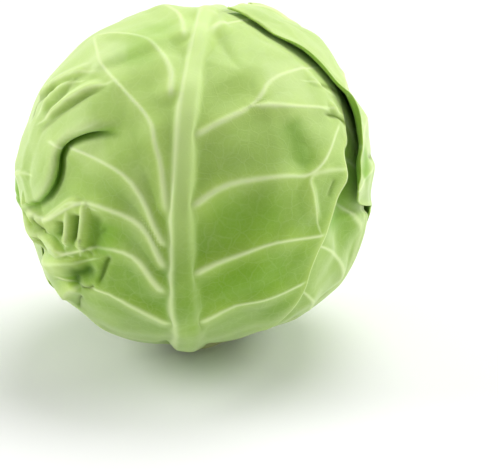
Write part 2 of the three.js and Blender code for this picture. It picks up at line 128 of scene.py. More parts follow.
# The pleat, with places across it counted in its half-widths from its line outwards
PLEAT_FADE = 12 * MM
PLEAT_PINCH = 88
PLEAT_GROWS_OVER = 26
PLEAT_PINCHED_TO = 0.04
PLEAT_WALL = 0.8
PLEAT_BEAD_HEIGHT = 0.7 * MM
PLEAT_BEAD = dict(middle=0.75, half=0.22)
PLEAT_GROOVE_DEPTH = 1.2 * MM
PLEAT_GROOVE = dict(middle=-0.7, half=0.35)
# Where the pleat's painted highlight (lip), painted green shade (wall) and painted shadow (slit) lie
PLEAT_LIP_LOOK = dict(middle=0.6, half=0.2)
PLEAT_WALL_LOOK = dict(middle=-0.3, half=0.6, power=4)
PLEAT_SLIT_LOOK = dict(middle=-0.6, half=0.34)

# The rolled margin, with places along it as shares of the leaf's length
LIP_STARTS = 0.58
LIP_STARTS_OVER = 0.08
LIP_ENDS_OVER = 0.25
LIP_END_SHARE = 0.12
LIP_LEAST_RADIUS = 0.05 * MM
LIP_WAVE = 0.3
LIP_WAVES = 7

# Furrow on the right, where the front leaf and the right leaf leave a gap
FURROW_AZIMUTH = -30
FURROW_DEPTH = 6 * MM
FURROW_HALF_WIDTH = 13 * MM
FURROW_TOP = 150
FURROW_FOOT = 55
FURROW_FADE = 30

# Outline of a leaf: near its foot, and how a margin's list is smoothed and measured
FOOT_HALF_WIDTH = 6.5
FULL_WIDTH_AT = 0.42
MARGIN_SMOOTHING = 2.5
SLOPE_STEP = 0.02


def fold_along(route, height, half, **shape):
    """A fold that stands up from a blade, its height and half-width in millimetres."""
    return dict(route=route, height=height * MM, half=half * MM, **shape)


def crease_along(route, half, depth=0, **looks):
    """A sunken crease, or a patch of painted shade (dark, green) or painted light (pale), its half-width
    and depth in millimetres.
    """
    return dict(route=route, half=half * MM, depth=depth * MM, **looks)


INNER_LEAF = dict(
    foot=15.5, right=50, narrow_from=0.4, narrowing=2.4, tip_width=0.35, round=16, in_furrow=True,
)

# The six outer leaves from the innermost to the outermost, in degrees. foot and tip are where a
# leaf begins and ends along its midrib, left and right its half-widths. Routes and margins are
# points [along, across]. Bumps and crumpled patches are [along, across, reach], and a height.
# Creases in these lists also paint shade (dark, green) and light (pale) into the blade's colour
LEAVES = [
    dict(
        piece="inner_back_leaf", node="leaf_inner_back", azimuth=75, tip=176, left=52,
        rows=120, columns=90, **INNER_LEAF,
    ),
    dict(
        piece="inner_left_leaf", node="leaf_inner_left", azimuth=-147, tip=178, left=54,
        rows=120, columns=90, **INNER_LEAF,
        # Painted shadow in a crease
        creases=[
            crease_along([[88, -6], [84, -2], [80.5, -1.2], [76, -4], [68, -7]], half=3, dark=1),
        ],
    ),
    dict(
        piece="inner_right_leaf", node="leaf_inner_right", azimuth=-12, tip=166, left=52,
        rows=150, columns=110, **INNER_LEAF,
        # Painted green shade in the gap
        creases=[
            crease_along([[125, -8], [112, -14], [102, -19], [92, -24], [84, -28]], half=16, green=1),
        ],
    ),
    dict(
        piece="back_leaf", node="leaf_back", azimuth=128, foot=15.5, tip=190,
        left=66, right=60, narrow_from=0.35, narrowing=2.6, tip_width=0.45, round=20,
        margin_lift=2 * MM, rows=190, columns=150,
        right_margin=[
            [15.5, 6.5], [20, 24], [28, 52], [38, 74], [48, 80], [100, 80], [114, 76], [130, 64],
            [150, 52], [170, 30],
        ],
        bumps=[[100, 58, 7 * MM, 4 * MM], [88, 58, 7 * MM, 4 * MM]],
        # Painted shadow beside the front leaf's margin, and painted green shade
        creases=[
            crease_along([[74, 76], [52, 77], [39, 77], [32, 72]], depth=0.5, half=3, dark=0.95),
            crease_along([[112, 62], [98, 62], [88, 62], [77, 65]], half=6, green=1),
        ],
    ),
    dict(
        piece="front_leaf", node="leaf_front", azimuth=-97.5, foot=15.5, tip=215,
        left=79, right=60, narrow_from=0.3, narrowing=3, tip_width=0.6, round=22,
        margin_lift=1.5 * MM, rows=240, columns=185, crowd_left=0.15, rib_aside=4,
        crumpled=[[84, -42, 24 * MM], [143, -45, 16 * MM], [75, -30, 14 * MM]],
        left_margin=[
            [15.5, 6.5], [25, 18], [35, 31], [45, 42], [54, 48.5], [62, 49.5], [70, 48.6], [78, 47.8],
            [80, 52], [83, 60], [86, 65], [92, 67], [102, 68], [114, 68], [122, 72], [135, 78],
            [155, 78], [175, 68], [193, 50],
        ],
        right_margin=[
            [15.5, 6.5], [30, 22], [45, 34], [60, 43], [75, 49], [91, 54.5], [101, 58], [110, 60],
            [118, 62], [127, 60], [135, 59.5], [143, 61], [155, 60], [170, 55], [182, 48], [193, 38],
        ],
        veins=[
            [
                [104, -0.5], [110, -1.5], [116, -2.5], [122, -4.5], [127.5, -6], [132.5, -9.5],
                [139, -15.5], [147, -22], [156, -27], [175, -32.5],
            ],
            [
                [139.5, -1.5], [146, -2.5], [152.5, -5.5], [159.5, -10.5], [164, -15.5], [169.5, -24],
                [175, -32],
            ],
            [[164, -1], [175, -4], [190, -12]],
            [[93, -2], [110, -11], [118, -25], [124, -40]],
            [[86, -2], [97, -8], [102, -22], [101, -32], [92, -45], [94, -57]],
            [[77, -3], [87, -11], [87, -24], [81, -36]],
            [[158, 3], [172, 9], [187, 18], [205, 23]],
            [[124, 5], [138, 23], [150, 28], [166, 38], [180, 44]],
            [[138, 23], [143, 37], [151, 48]],
            [[103, 6], [111, 18], [115, 35], [117, 45], [127, 51], [146, 55]],
            [[80, 4], [86, 18], [90, 34], [88, 50]],
            [[62, -3], [70, -20], [66, -40]],
            [[58, 3], [66, 20], [66, 42]],
        ],
        folds=[
            fold_along([[150, -28], [151.5, -34], [152, -41], [153, -48], [157, -56]], height=3, half=8),
            fold_along([[142, -50], [146, -44], [148, -38], [147, -32]], height=2, half=5),
            fold_along(
                [[143, -21], [141.5, -26], [140, -31], [138.5, -36], [137, -41], [136.5, -49]],
                height=3.4, half=7,
            ),
            fold_along(
                [[93, -57], [92, -52], [91, -46], [95, -41], [101, -34], [102, -30], [101, -24]],
                height=3.8, half=9, from_margin=True,
            ),
            fold_along(
                [[93, -57], [87, -55], [83, -52], [84, -46], [83, -42], [81.5, -38], [81, -33]],
                height=3.8, half=9, from_margin=True,
            ),
            fold_along(
                [[99, -34.5], [91, -34.5], [84, -35.5]],
                height=3, half=5, from_margin=True, steep=0.8,
            ),
            fold_along(
                [[101, -27.5], [98, -27.6], [93, -28.3], [89, -29.2], [83, -30]],
                height=3.6, half=5, from_margin=True, steep=0.8,
            ),
            fold_along(
                [[64, -52], [68, -47], [72, -43], [76, -38], [79, -32], [82, -26]],
                height=3.2, half=11,
            ),
            fold_along([[68, -31], [62, -36], [56, -39], [48, -41]], height=2.8, half=9),
            fold_along([[111.5, -66], [112.7, -60], [111.4, -52]], height=1.4, half=4),
            fold_along([[164, 62], [160, 56], [153, 49]], height=2.2, half=5),
            fold_along([[170, 56], [165, 47], [160, 40]], height=1.5, half=5),
            fold_along([[124, 60], [117, 46], [108, 47], [92, 50]], height=1.7, half=9),
        ],
        bumps=[[84, -40, 17 * MM, 2.4 * MM]],
        # Sunken creases with painted shade (dark, green), and patches of painted light (pale)
        creases=[
            crease_along([[99, -31], [94, -31], [86, -32]], depth=2.6, half=2.8, dark=0.8),
            crease_along([[95, -38], [91, -37.5], [86, -38]], depth=2, half=2.2, dark=0.7),
            crease_along([[91, -52], [88, -49], [87.6, -44]], depth=2.2, half=2.8, dark=0.8),
            crease_along([[101, -23], [95.5, -23.5], [90, -24], [85, -26]], depth=1.4, half=4, dark=0.4),
            crease_along([[98, -21], [91, -22], [84, -23]], half=8, green=0.6),
            crease_along([[83, -47], [80, -46.5], [76, -46]], depth=2, half=2.2, dark=0.8),
            crease_along(
                [[80.5, -25], [76, -29], [73.5, -32.5], [69, -33.5], [64, -34]],
                depth=2.2, half=4.4, dark=0.85, green=0.9,
            ),
            crease_along(
                [[86, -18], [83, -20.3], [79.6, -21.5], [76, -22.7], [71, -24.6]],
                depth=1.2, half=1.8, dark=0.85,
            ),
            crease_along([[67, -32], [68.8, -28], [71.4, -25]], depth=1, half=1.3, dark=0.8),
            crease_along(
                [[96, -19], [92.5, -22.5], [90.2, -24.4], [87, -25.5]],
                depth=0.8, half=1.8, dark=0.45,
            ),
            crease_along([[86, -29.5], [85.2, -27], [84, -25]], depth=0.6, half=1.4, dark=0.5),
            crease_along([[62, -31.5], [56.6, -34.1], [47, -36]], depth=1, half=1.5, dark=0.7),
            crease_along(
                [[157, -57], [152.5, -51], [149.3, -46], [149.5, -40]],
                depth=1, half=2.2, dark=0.5,
            ),
            crease_along([[143, -55], [149, -56], [155, -55]], depth=0.6, half=1.8, dark=0.55),
            crease_along([[138, -48], [143.4, -40], [149, -33]], depth=0.8, half=2.2, dark=0.35),
            crease_along(
                [[141, -23], [137, -33], [134.6, -41.2], [132, -50]],
                depth=1.2, half=2.4, dark=0.45,
            ),
            crease_along([[163, 44], [170, 49.5], [174, 55]], depth=1, half=1.4, dark=0.6),
            crease_along([[147, 47], [153.5, 53.7], [157, 58.7], [160, 63]], depth=1.4, half=1.3, dark=0.9),
            crease_along(
                [[137, 34], [132, 38], [126, 41.5], [117, 46]],
                depth=0.8, half=6.5, green=0.5, dark=0.28,
            ),
            crease_along([[176, -6], [160, -14], [148, -16]], half=12, green=0.35),
            crease_along([[166, -22], [158, -26], [150, -31]], half=11, pale=0.5),
            crease_along([[121, -8], [106, -10], [90, -9], [78, -9]], half=6, pale=0.15),
            crease_along([[116, -32], [121, -27], [124, -20]], half=13, pale=0.2),
            crease_along([[155, -25], [157, -22], [158, -17]], half=8, pale=0.55),
            crease_along([[150, 25], [154, 34], [160, 42]], half=14, pale=0.3),
            crease_along([[98, 12], [100, 24], [101, 38]], half=11, green=0.35),
            crease_along([[74, 12], [76, 26], [78, 40]], half=10, green=0.35),
            crease_along([[118, 55.9], [106, 54.4]], depth=0.6, half=1.1, dark=0.45),
        ],
        pleat=dict(
            route=[
                [126.5, -15], [127.4, -22], [126.8, -29], [124.8, -34.8], [120.2, -38.4], [113.5, -39.5],
                [107, -42.5], [101, -48], [96, -54.5], [88, -61],
            ],
            height=3.9 * MM, half_width=4.6 * MM, overlap=3 * MM, run_out=45 * MM,
        ),
    ),
    dict(
        piece="right_leaf", node="leaf_right", azimuth=35, foot=16, tip=160, lean=11,
        left=67, right=56, narrow_from=0.55, narrowing=2, tip_width=0.06, round=0, fall=8 * MM,
        margin_lift=1.5 * MM, rows=200, columns=170,
        left_margin=[
            [16, 6.5], [30, 20], [45, 29], [60, 32], [75, 35], [82, 38], [85, 46], [89, 55],
            [95, 60], [102, 62], [110, 61.5], [119, 57], [123, 52], [127, 48], [132, 46], [136, 43],
            [140, 39], [144, 36], [149, 32], [154, 28], [158, 24], [162, 19], [165, 14], [168, 8],
            [171, 3],
        ],
        bumps=[
            [135, -8, 20 * MM, 3.5 * MM], [112, -24, 12 * MM, 2.2 * MM], [98, -32, 14 * MM, 1.4 * MM],
        ],
        # Painted shadow in a crease, and painted green shade under the flap
        creases=[
            crease_along([[100, -28], [101, -34], [108, -44]], depth=1.4, half=1.6, dark=0.7),
            crease_along([[116, -45], [108, -47], [103, -54]], half=5, green=0.8),
            crease_along([[102, -40], [93, -41], [90, -49]], half=7, green=0.3),
        ],
        lip=dict(radius=3.1 * MM, turn=100),
    ),
]


# Angles and lines on the head
def ease(x):
    x = np.clip(x, 0, 1)
    return x * x * (3 - 2 * x)


def mix(a, b, share):
    return a + (b - a) * share


def hump(place, half, middle=0, power=2):
    """1 at the middle, falling off rounded to both sides."""
    return np.exp(-((place - middle) / half) ** power)


def unit(v):
    return v / np.linalg.norm(v, axis=-1, keepdims=True)


def axes_of(azimuth):
    turn = math.radians(azimuth)
    out = np.array([math.cos(turn), math.sin(turn), 0.0])
    side = np.array([-math.sin(turn), math.cos(turn), 0.0])
    return out, side


def direction(azimuth, along, across):
    """A direction from the centre of the head, in a leaf's own angles."""
    out, side = axes_of(azimuth)
    a = np.radians(np.asarray(along, float))[..., None]
    c = np.radians(np.asarray(across, float))[..., None]
    up = np.array([0.0, 0.0, 1.0])
    return np.cos(c) * (np.sin(a) * out - np.cos(a) * up) + np.sin(c) * side


def angles_on(azimuth, d):
    """The angles along and across a leaf of some directions, counted on past 180 over its tip."""
    out, side = axes_of(azimuth)
    along = np.degrees(np.arctan2(d @ out, -d[..., 2]))
    across = np.degrees(np.arcsin(np.clip(d @ side, -1, 1)))
    return np.where(along < LOWEST_ANGLE, along + 360, along), across


def smooth_route(route, steps=4):
    """A Catmull-Rom curve through the points of a route."""
    p = np.array(route, float)
    p = np.vstack([2 * p[0] - p[1], p, 2 * p[-1] - p[-2]])
    t = np.linspace(0, 1, steps, endpoint=False)[:, None]
    parts = []
    for i in range(1, len(p) - 2):
        a, b, c, d = p[i - 1:i + 3]
        parts.append(0.5 * (2 * b + (c - a) * t + (2 * a - 5 * b + 4 * c - d) * t ** 2
                            + (3 * b - a - 3 * c + d) * t ** 3))
    return np.vstack([*parts, p[-2:-1]])


def route_on_head(azimuth, route):
    points = smooth_route(route)
    return direction(azimuth, points[:, 0], points[:, 1])


def nearest_on_line(line, d):
    """Distance to a line on the head, the share of the way along it, the signed distance across
    it and how far past its ends."""
    shape = d.shape[:-1]
    flat = d.reshape(-1, 3)
    distance = np.full(len(flat), np.inf)
    share = np.zeros(len(flat))
    signed = np.zeros(len(flat))
    past = np.zeros(len(flat))
    count = len(line) - 1
    for i in range(count):
        run = line[i + 1] - line[i]
        start = flat - line[i]
        place = start @ run / (run @ run)
        t = np.clip(place, 0, 1)
        away = start - t[:, None] * run
        here = np.linalg.norm(away, axis=1) * MEAN_RADIUS
        closer = here < distance
        across = unit(np.cross(line[i], run))
        over = np.abs(place - t) * np.linalg.norm(run) * MEAN_RADIUS
        distance = np.where(closer, here, distance)
        share = np.where(closer, (i + t) / count, share)
        signed = np.where(closer, away @ across * MEAN_RADIUS, signed)
        past = np.where(closer, over if i in (0, count - 1) else 0, past)
    return [part.reshape(shape) for part in (distance, share, signed, past)]


def veins_by_rule(leaf):
    """Pairs of veins that leave the midrib in turn and swing up to the margin."""
    routes = []
    for pair in range(VEIN_PAIRS):
        for side in (-1, 1):
            width = leaf["left"] if side < 0 else leaf["right"]
            place = (pair + (0 if side < 0 else VEIN_STAGGER)) / VEIN_PAIRS
            start = mix(leaf["foot"] + VEINS_FROM_FOOT, leaf["tip"] - VEINS_FROM_TIP, place)
            course = [[start + VEIN_RISE * rise, out * side * width] for rise, out in VEIN_COURSE]
            routes.append([[start, VEIN_FROM_MIDDLE * side], *course])
    return routes


for leaf in LEAVES:
    routes = leaf.get("veins") or veins_by_rule(leaf)
    leaf["vein_lines"] = [route_on_head(leaf["azimuth"], r) for r in routes]
    for line in leaf.get("folds", []) + leaf.get("creases", []):
        line["line"] = route_on_head(leaf["azimuth"], line["route"])
    if "pleat" in leaf:
        leaf["pleat_line"] = route_on_head(leaf["azimuth"], leaf["pleat"]["route"])


# Outlines and layers of the blades
def half_width(leaf, u, side):
    """Half-width at share u of a leaf's length, by its own list [along, width] or by rule."""
    along = mix(leaf["foot"], end_of(leaf, side), u)
    width = half_width_by_rule(leaf, u, side)
    for margin, here in (("left_margin", side < 0), ("right_margin", side > 0)):
        if margin in leaf:
            listed = np.array(leaf[margin])
            shifts = (-MARGIN_SMOOTHING, 0, MARGIN_SMOOTHING)
            smooth = sum(np.interp(along + shift, *listed.T) for shift in shifts) / len(shifts)
            width = np.where(here, smooth, width)
    return width


def half_width_by_rule(leaf, u, side):
    full = np.where(side < 0, leaf["left"], leaf["right"])
    widening = mix(FOOT_HALF_WIDTH / full, 1, ease(u / FULL_WIDTH_AT))
    beyond = np.clip((u - leaf["narrow_from"]) / (1 - leaf["narrow_from"]), 0, 1)
    return full * widening * mix(1, leaf["tip_width"], beyond ** leaf["narrowing"])


def end_of(leaf, v):
    """Where a leaf ends at share v of its width: its tip is an arc, or leans to one side."""
    return leaf["tip"] - leaf["round"] * v * v - leaf.get("lean", 0) * v


def share_along(leaf, along, v):
    return np.clip((along - leaf["foot"]) / (end_of(leaf, v) - leaf["foot"]), 0, 1)


def inside_outline(leaf, d):
    """Distance in metres from a direction to a leaf's outline, positive inside it."""
    along, across = angles_on(leaf["azimuth"], d)
    side = np.where(across < 0, -1, 1)
    rough = half_width(leaf, share_along(leaf, along, 0), side)
    v = np.clip(across / rough, -1, 1)
    u = share_along(leaf, along, v)
    width = half_width(leaf, u, side)
    widening = width - half_width(leaf, u - SLOPE_STEP, side)
    slope = widening / (SLOPE_STEP * (leaf["tip"] - leaf["foot"]))
    to_margin = (width - np.abs(across)) / np.sqrt(1 + slope * slope)
    nearest = np.minimum(np.minimum(to_margin, end_of(leaf, v) - along), along - leaf["foot"])
    return np.radians(nearest) * MEAN_RADIUS


def cover(leaf, d):
    """1 where a leaf lies on what is under it, falling off outside its outline."""
    along, _ = angles_on(leaf["azimuth"], d)
    room = mix(FOOT_CROWDING, 1, ease((along - leaf["foot"]) / CROWDED_UP_TO))
    fall = leaf.get("fall", COVER_FALL) * room
    return ease((inside_outline(leaf, d) + COVER_REACH * room + fall) / fall)


def bare(index, d):
    """1 where a leaf is the outermost one, 0 under another leaf."""
    share = np.ones(d.shape[:-1])
    for outer in LEAVES[index + 1:]:
        share = share * (1 - cover(outer, d))
    return share


def blade_thickness(leaf, along, across):
    u = share_along(leaf, along, 0)
    middle = hump(across, BLADE_MIDDLE_REACH)
    return mix(BLADE_EDGE, BLADE_MIDDLE, middle) + BLADE_FOOT * (1 - u) ** BLADE_FOOT_FALL * middle


def beside_rib(leaf, along, across):
    """Degrees across from the middle of a midrib, which may run beside the leaf's own middle."""
    aside = leaf.get("rib_aside", 0)
    return across - aside * ease((along - RIB_ASIDE_FROM) / (RIB_ASIDE_TO - RIB_ASIDE_FROM))


def rib_half_width(leaf, along):
    u = share_along(leaf, along, 0)
    return RIB_TIP_HALF_WIDTH + RIB_FOOT_HALF_WIDTH * (1 - u) ** RIB_NARROWING


def rib_height(leaf, along, across, spread=1.0):
    u = share_along(leaf, along, 0)
    height = RIB_TIP_HEIGHT + RIB_FOOT_HEIGHT * (1 - u) ** RIB_LOWERING
    half = rib_half_width(leaf, along) * spread
    beside = np.abs(np.radians(beside_rib(leaf, along, across)) * MEAN_RADIUS / half)
    return height * np.exp(-RIB_FALL * beside ** RIB_SQUARENESS)


def rib_edge_highlight(leaf, along, across):
    """Painted highlight: 1 on the rounded left edge of a midrib, and weaker on its right one."""
    half = rib_half_width(leaf, along)
    beside = np.radians(beside_rib(leaf, along, across)) * MEAN_RADIUS / half
    left = hump(beside, RIB_LEFT_EDGE, -RIB_EDGE_PLACE)
    right = hump(beside, RIB_RIGHT_EDGE, RIB_EDGE_PLACE)
    return left + RIB_RIGHT_EDGE_SHARE * right


def heart_radius(d):
    """How far out the heart reaches. Its foot is flatter than its crown."""
    level = np.hypot(d[..., 0], d[..., 1]) / HEART_HALF_WIDTH
    upright = np.abs(d[..., 2]) / np.where(d[..., 2] > 0, HEART_CROWN, HEART_FOOT)
    n = HEART_SQUARENESS
    return (level ** n + upright ** n) ** (-1 / n)


def furrow(d):
    """How far the inner leaves sink behind the gap on the right."""
    along, across = angles_on(FURROW_AZIMUTH, d)
    beside = np.radians(across) * MEAN_RADIUS / FURROW_HALF_WIDTH
    above_foot = ease((along - FURROW_FOOT) / FURROW_FADE)
    below_top = ease((FURROW_TOP - along) / FURROW_FADE)
    return FURROW_DEPTH * hump(beside, 1) * above_foot * below_top


def layer_radius(index, d):
    """How far a leaf's inner face lies from the centre: the heart, and every leaf under it."""
    radius = heart_radius(d) + LAYER_GAP
    if LEAVES[index].get("in_furrow"):
        radius = radius - furrow(d)
    for under in LEAVES[:index]:
        along, across = angles_on(under["azimuth"], d)
        thickness = blade_thickness(under, along, across)
        thickness = thickness + RIB_PRESSED * rib_height(under, along, across, RIB_PRESSED_SPREAD)
        radius = radius + cover(under, d) * (thickness + LAYER_GAP)
    return radius


# Relief of the blades
def ridge(distance, half, sharpness):
    return np.maximum(0, 1 - distance / half) ** sharpness


def fine_lines(lines, d, base_half, end_half):
    """Distance to the nearest of some lines, and what draws it: how far beside it a point lies,
    the line's half-width there, and a share that hides the border between two lines."""
    shape = d.shape[:-1]
    nearest = np.full(shape, FAR_AWAY)
    second = np.full(shape, FAR_AWAY)
    beside = np.zeros(shape)
    half = np.full(shape, end_half)
    for line in lines:
        distance, share, across, _ = nearest_on_line(line, d)
        closer = distance < nearest
        second = np.where(closer, nearest, np.minimum(second, distance))
        nearest = np.where(closer, distance, nearest)
        beside = np.where(closer, across, beside)
        half = np.where(closer, mix(base_half, end_half, ease(share * LINE_TAPER)), half)
    clear = np.maximum(ease((second - nearest) / LINES_APART), hump(nearest, LINES_MEET))
    return nearest, beside, half, clear * hump(nearest, LINE_REACH)


def vein_relief(leaf, d):
    """How far veins and folds lift a blade."""
    most = np.zeros(d.shape[:-1])
    for line in leaf["vein_lines"]:
        distance, share, _, _ = nearest_on_line(line, d)
        height = TENT_HEIGHT * (1 - TENT_DROP * share)
        most = np.maximum(most, height * ridge(distance, TENT_HALF_WIDTH, TENT_SHARPNESS))
    for fold in leaf.get("folds", []):
        distance, share, across, _ = nearest_on_line(fold["line"], d)
        start = 1 if fold.get("from_margin") else ease(share * FOLD_START_FADE)
        ends = start * ease((1 - share) * LINE_END_FADE)
        half = fold["half"] * np.where(across > 0, fold.get("steep", STEEP_SIDE), 1)
        most = np.maximum(most, fold["height"] * ends * ridge(distance, half, FOLD_SHARPNESS))
    return most


def sunken(leaf, d):
    """How deep creases and pockets sink a blade, and how much painted shade (dark, green) or painted light
    (pale) lies there.
    """
    most = {kind: np.zeros(d.shape[:-1]) for kind in ("depth", "dark", "green", "pale")}
    for crease in leaf.get("creases", []):
        distance, share, _, _ = nearest_on_line(crease["line"], d)
        ends = ease(share * LINE_END_FADE) * ease((1 - share) * LINE_END_FADE)
        near = ends * hump(distance, crease["half"])
        for kind in most:
            most[kind] = np.maximum(most[kind], crease.get(kind, 0) * near)
    return most


def round_patch(leaf, d, along, across, reach):
    place = direction(leaf["azimuth"], along, across)
    away = np.linalg.norm(d - place, axis=-1) * MEAN_RADIUS
    return hump(away, reach)


def bumps(leaf, d):
    total = np.zeros(d.shape[:-1])
    for along, across, reach, height in leaf.get("bumps", []):
        total = total + height * round_patch(leaf, d, along, across, reach)
    return total


def crumpled(leaf, d):
    most = np.zeros(d.shape[:-1])
    for along, across, reach in leaf.get("crumpled", []):
        most = np.maximum(most, round_patch(leaf, d, along, across, reach))
    return most


def swell(leaf, d):
    """Broad and narrow waves cross each other, in another place on each leaf."""
    turns = 2 * math.pi * MEAN_RADIUS / SWELL_LENGTH
    start = math.radians(leaf["azimuth"])
    x, y, z = d[..., 0], d[..., 1], d[..., 2]
    broad = np.sin(turns * x + start) * np.sin(turns * (0.8 * z + 0.6 * y) + 2 * start)
    narrow = np.sin(turns * 1.9 * y + 3 * start) * np.sin(turns * (1.7 * z - x))
    return SWELL_HEIGHT * (SWELL_MEAN + SWELL_BROAD * broad + SWELL_NARROW * narrow)


def clear_of_outer(index, d):
    """1 outside the outlines of all the leaves that lie on this one, 0 under one of them."""
    share = np.ones(d.shape[:-1])
    for outer in LEAVES[index + 1:]:
        share = share * ease(-inside_outline(outer, d) / CLEAR_REACH)
    return share


def margin_lift(leaf, d):
    """A margin stands off in waves."""
    near = ease(1 - inside_outline(leaf, d) / MARGIN_REACH)
    along, _ = angles_on(leaf["azimuth"], d)
    wave = np.sin(np.radians(along * WAVES_ALONG) + leaf["azimuth"])
    return leaf.get("margin_lift", MARGIN_LIFT) * near * (1 - MARGIN_WAVE + MARGIN_WAVE * wave)


def pleat_shift(leaf, d):
    """Past the pleat's line the blade steps outwards and hangs back over itself."""
    pleat = leaf["pleat"]
    line = leaf["pleat_line"]
    _, share, across, past = nearest_on_line(line, d)
    signed = -across
    half = pleat["half_width"]
    along, _ = angles_on(leaf["azimuth"], d)
    ends = ease(share * LINE_END_FADE) * ease(1 - past / PLEAT_FADE)
    ends = ends * mix(PLEAT_PINCHED_TO, 1, ease((along - PLEAT_PINCH) / PLEAT_GROWS_OVER))
    over = np.where(signed > 0, ease(1 - (signed - half) / pleat["run_out"]), 1)
    place = signed / half
    up = pleat["height"] * ends * over * ease((place + PLEAT_WALL) / (2 * PLEAT_WALL))
    up = up + PLEAT_BEAD_HEIGHT * ends * hump(place, **PLEAT_BEAD)
    up = up - PLEAT_GROOVE_DEPTH * ends * hump(place, **PLEAT_GROOVE)
    wave = np.where(np.abs(place) < 1, np.sin(math.pi * place), 0)
    # Painted highlight on the lip, painted green shade on the wall and painted shadow in the slit
    looks = dict(
        lip=ends * hump(place, **PLEAT_LIP_LOOK),
        wall=np.sqrt(ends) * hump(place, **PLEAT_WALL_LOOK),
        slit=np.sqrt(ends) * hump(place, **PLEAT_SLIT_LOOK),
    )
    at = np.clip((share * (len(line) - 1)).astype(int), 0, len(line) - 2)
    outward = unit(np.cross(line[at], line[at + 1] - line[at]))
    return up, pleat["overlap"] * ends * wave, outward, looks


def roll_margin(leaf, across, u):
    """The last of the blade turns outwards in an arc."""
    starts = ease((u - LIP_STARTS) / LIP_STARTS_OVER)
    ends = mix(LIP_END_SHARE, 1, ease((1 - u) / LIP_ENDS_OVER))
    waving = 1 + LIP_WAVE * np.sin(LIP_WAVES * 2 * math.pi * u)
    radius = leaf["lip"]["radius"] * ends * starts * waving + LIP_LEAST_RADIUS
    arc = radius * math.radians(leaf["lip"]["turn"])
    flat = np.radians(half_width(leaf, u, -1) + across) * MEAN_RADIUS
    bent = np.maximum(0, arc - flat)
    angle = bent / radius
    back = np.degrees((bent - radius * np.sin(angle)) / MEAN_RADIUS)
    return back, radius * (1 - np.cos(angle))


def line_masks(leaf, d, on_rib):
    """What draws the veins and the painted highlights along the crests of folds, and how deep in a panel a
    point lies, for the painted shade between veins.
    """
    from_vein, beside, half, near = fine_lines(
        leaf["vein_lines"], d, VEIN_BASE_HALF_WIDTH, VEIN_END_HALF_WIDTH)
    masks = dict(
        vein_beside=beside,
        vein_half_width=half,
        vein_near=near * (1 - on_rib),
        panel=1 - hump(from_vein, PANEL_REACH),
    )
    fold_lines = [fold["line"] for fold in leaf.get("folds", [])]
    _, beside, half, near = fine_lines(fold_lines, d, CREST_BASE_HALF_WIDTH, CREST_END_HALF_WIDTH)
    masks.update(crest_beside=beside, crest_half_width=half, crest_near=near)
    return masks


def leaf_grid(index):
    """Points on a leaf's outer and inner face, the masks that its look uses, and its flat map."""
    leaf = LEAVES[index]
    t = np.linspace(0, 1, leaf["rows"] + 1)
    side = np.linspace(-1, 1, leaf["columns"] + 1)
    side = side - leaf.get("crowd_left", 0) * (1 - side * side)
    u, v = np.meshgrid(t, side, indexing="ij")
    along = mix(leaf["foot"], end_of(leaf, v), u)
    across = v * half_width(leaf, u, np.where(v < 0, -1, 1))
    shifted = across
    rolled = np.zeros_like(u)
    if "lip" in leaf:
        back, out = roll_margin(leaf, across, u)
        shifted = np.where(v < 0, across + back, across)
        rolled = np.where(v < 0, out, 0)
    d = direction(leaf["azimuth"], along, shifted)
    free = bare(index, d)
    rib = rib_height(leaf, along, across)
    on_rib = np.clip(rib / RIB_TIP_HEIGHT, 0, 1)
    lift = vein_relief(leaf, d) * mix(1, TENT_ON_RIB, on_rib)
    creases = sunken(leaf, d)
    edge = margin_lift(leaf, d)
    if "lip" in leaf:
        edge = np.where(v < 0, 0, edge)
    open_air = clear_of_outer(index, d)
    dented = bumps(leaf, d) - creases["depth"]
    relief = free * (lift + swell(leaf, d) + edge) + open_air * dented
    radius = layer_radius(index, d) + rolled + np.maximum(0, relief)
    points = np.broadcast_to(CENTRE, d.shape).copy()
    lip = np.zeros_like(u)
    dark = creases["dark"]
    green = creases["green"]
    if "pleat" in leaf:
        up, lean, outward, looks = pleat_shift(leaf, d)
        # The pleat's painted highlight, shadow and green shade join the masks
        lip = looks["lip"]
        dark = np.maximum(dark, looks["slit"])
        green = np.maximum(green, looks["wall"])
        radius = radius + up * free
        points += outward * (lean * free)[..., None]
    points += d * radius[..., None]
    normal = unit(np.cross(np.gradient(points, axis=1), np.gradient(points, axis=0)))
    thickness = blade_thickness(leaf, along, across) + mix(RIB_PRESSED, 1, free) * rib
    outer = points + normal * thickness[..., None]
    # Masks for painted light and shade: dark and green creases, pale patches, the pleat's lip, paler tents
    # and margins, the midrib's edge highlight
    masks = dict(
        rib=on_rib,
        rib_edge_highlight=rib_edge_highlight(leaf, along, across),
        lip=lip,
        green=green,
        dark=dark,
        pale=creases["pale"],
        lifted=np.clip(lift / TENT_HEIGHT, 0, 1),
        margin=ease(1 - inside_outline(leaf, d) / MARGIN_PALE_REACH),
        crumpled=crumpled(leaf, d),
        **line_masks(leaf, d, on_rib),
    )
    flat_map = np.stack([np.radians(across), np.radians(along)], -1) * MEAN_RADIUS
    return outer, points, masks, flat_map


# Meshes
def deselect_all():
    for thing in bpy.context.selected_objects:
        thing.select_set(False)


def apply_modifiers(piece):
    deselect_all()
    piece.select_set(True)
    bpy.context.view_layer.objects.active = piece
    for modifier in list(piece.modifiers):
        bpy.ops.object.modifier_apply(modifier=modifier.name)


def add_mask(mesh, name, values):
    layer = mesh.attributes.new(name, "FLOAT", "POINT")
    layer.data.foreach_set("value", np.ascontiguousarray(values, dtype=np.float32).ravel())


def set_points(mesh, points):
    mesh.vertices.foreach_set("co", points.reshape(-1, 3).astype(np.float32).ravel())
    mesh.update()


